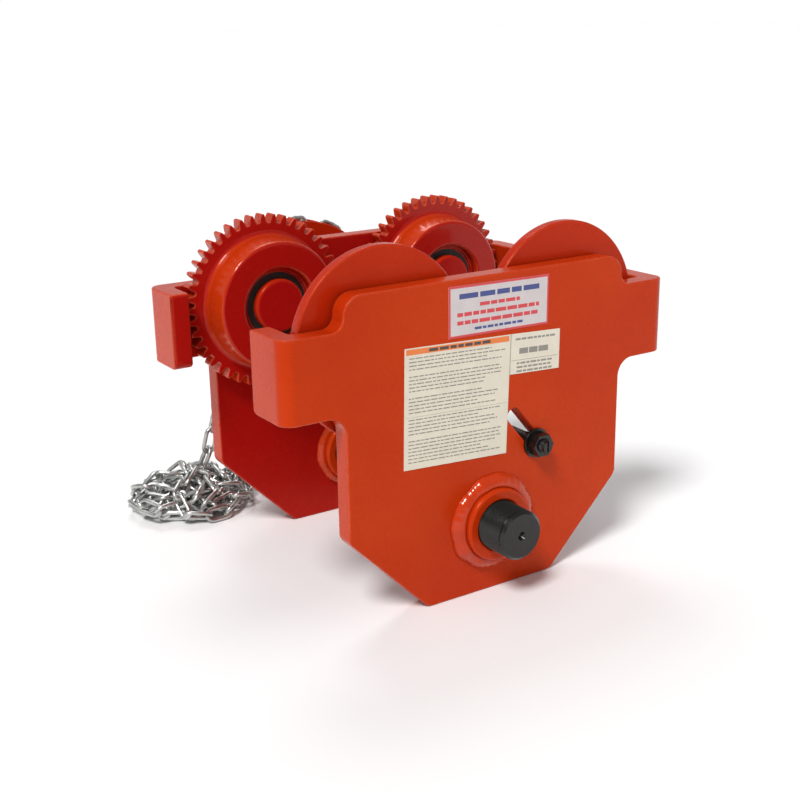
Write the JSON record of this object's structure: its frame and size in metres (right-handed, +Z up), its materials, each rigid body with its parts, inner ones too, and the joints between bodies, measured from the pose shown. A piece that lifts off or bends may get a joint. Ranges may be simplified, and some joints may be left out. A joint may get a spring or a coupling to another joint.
{
  "type": "beam trolley",
  "caption": "Geared beam trolley: two side plates with flanged wheels, a screwed load bar with a lifting eye, and a hand chain drive.",
  "frame": {"origin": "on the floor plane under the bottom edges of the side plates, halfway along the beam direction and halfway across the whole depth, from the load bar's front end to the pinion shaft's end; the free hand chain is left out", "axes": "+X along the beam to the right seen from the front plate, +Y across the beam from the front plate to the back plate, +Z up"},
  "size_m": [0.4632, 0.5117, 0.3563],
  "materials": {
    "plate_paint": "glossy orange enamel",
    "boss_paint": "glossy orange enamel",
    "weld_paint": "glossy orange enamel over a weld bead",
    "wheel_paint": "glossy orange enamel over a casting",
    "hand_wheel_paint": "glossy orange-red enamel",
    "axle_paint": "glossy orange enamel",
    "bearing_steel": "ground",
    "ball_steel": "polished",
    "seal_rubber": "moulded",
    "circlip_steel": "black spring steel",
    "black_steel": "black oxide, oiled",
    "shaft_steel": "machined",
    "bush_bronze": "machined",
    "zinc_fastener": "zinc plated",
    "chain_zinc": "bright zinc plated",
    "label_white": "printed film",
    "label_cream": "printed film"
  },
  "bodies": {
    "guide_rod": {"guide_rod": "black_steel", "guide_rod_washers": "black_steel", "guide_rod_nuts": "black_steel"},
    "load_bar": {"load_bar": "black_steel"},
    "front_plate": {"front_side_plate": "plate_paint", "front_boss": "boss_paint", "front_boss_weld": "weld_paint", "maker_label": "label_white", "info_label": "label_cream", "front_left_axle": "axle_paint", "front_left_spacer": "bearing_steel", "front_left_inner_ring": "bearing_steel", "front_right_axle": "axle_paint", "front_right_spacer": "bearing_steel", "front_right_inner_ring": "bearing_steel"},
    "back_plate": {"back_side_plate": "plate_paint", "back_boss": "boss_paint", "back_boss_weld": "weld_paint", "pinion_housing": "boss_paint", "pinion_bushes": "bush_bronze", "housing_bolts": "zinc_fastener", "back_left_axle": "axle_paint", "back_left_spacer": "bearing_steel", "back_left_inner_ring": "bearing_steel", "back_right_axle": "axle_paint", "back_right_spacer": "bearing_steel", "back_right_inner_ring": "bearing_steel", "chain_wrap": "chain_zinc", "chain_run_left": "chain_zinc", "chain_run_right": "chain_zinc", "chain_pile": "chain_zinc", "chain_spill": "chain_zinc"},
    "hand_wheel": {"pinion_shaft": "shaft_steel", "hand_wheel": "hand_wheel_paint", "hand_wheel_web": "hand_wheel_paint", "hand_wheel_key": "shaft_steel", "hand_wheel_washer": "zinc_fastener", "hand_wheel_nut": "zinc_fastener", "hand_wheel_split_pin": "zinc_fastener"},
    "front_left_wheel": {"front_left_wheel": "wheel_paint", "front_left_outer_ring": "bearing_steel", "front_left_balls": "ball_steel", "front_left_seal": "seal_rubber", "front_left_circlip": "circlip_steel"},
    "front_right_wheel": {"front_right_wheel": "wheel_paint", "front_right_outer_ring": "bearing_steel", "front_right_balls": "ball_steel", "front_right_seal": "seal_rubber", "front_right_circlip": "circlip_steel"},
    "back_left_wheel": {"back_left_wheel": "wheel_paint", "back_left_outer_ring": "bearing_steel", "back_left_balls": "ball_steel", "back_left_seal": "seal_rubber", "back_left_circlip": "circlip_steel"},
    "back_right_wheel": {"back_right_wheel": "wheel_paint", "back_right_outer_ring": "bearing_steel", "back_right_balls": "ball_steel", "back_right_seal": "seal_rubber", "back_right_circlip": "circlip_steel"}
  },
  "joints": [
    {"name": "load_bar_turn", "type": "hinge", "parent": "guide_rod", "child": "load_bar", "pos_m": [0, -0.036, 0.0725], "axis": [0, 1, 0], "range_deg": [0, 6840.1]},
    {"name": "front_plate_slide", "type": "slide", "parent": "guide_rod", "child": "front_plate", "axis": [0, 1, 0], "range_m": [0, 0.057]},
    {"name": "back_plate_slide", "type": "slide", "parent": "guide_rod", "child": "back_plate", "axis": [0, -1, 0], "range_m": [0, 0.057]},
    {"name": "hand_wheel_spin", "type": "hinge", "parent": "back_plate", "child": "hand_wheel", "pos_m": [0, 0.2, 0.21564], "axis": [0, 1, 0], "continuous": true},
    {"name": "front_left_wheel_spin", "type": "hinge", "parent": "front_plate", "child": "front_left_wheel", "pos_m": [-0.1075, -0.141, 0.2643], "axis": [0, 1, 0], "continuous": true},
    {"name": "front_right_wheel_spin", "type": "hinge", "parent": "front_plate", "child": "front_right_wheel", "pos_m": [0.1075, -0.141, 0.2643], "axis": [0, 1, 0], "continuous": true},
    {"name": "back_left_wheel_spin", "type": "hinge", "parent": "back_plate", "child": "back_left_wheel", "pos_m": [-0.1075, 0.069, 0.2643], "axis": [0, 1, 0], "continuous": true},
    {"name": "back_right_wheel_spin", "type": "hinge", "parent": "back_plate", "child": "back_right_wheel", "pos_m": [0.1075, 0.069, 0.2643], "axis": [0, 1, 0], "continuous": true}
  ],
  "couplings": [
    {"joint": "back_plate_slide", "follows": "front_plate_slide", "ratio": 1},
    {"joint": "load_bar_turn", "follows": "front_plate_slide", "rad_per_m": 2094.4},
    {"joint": "back_left_wheel_spin", "follows": "hand_wheel_spin", "ratio": -0.34091},
    {"joint": "back_right_wheel_spin", "follows": "hand_wheel_spin", "ratio": -0.34091}
  ]
}
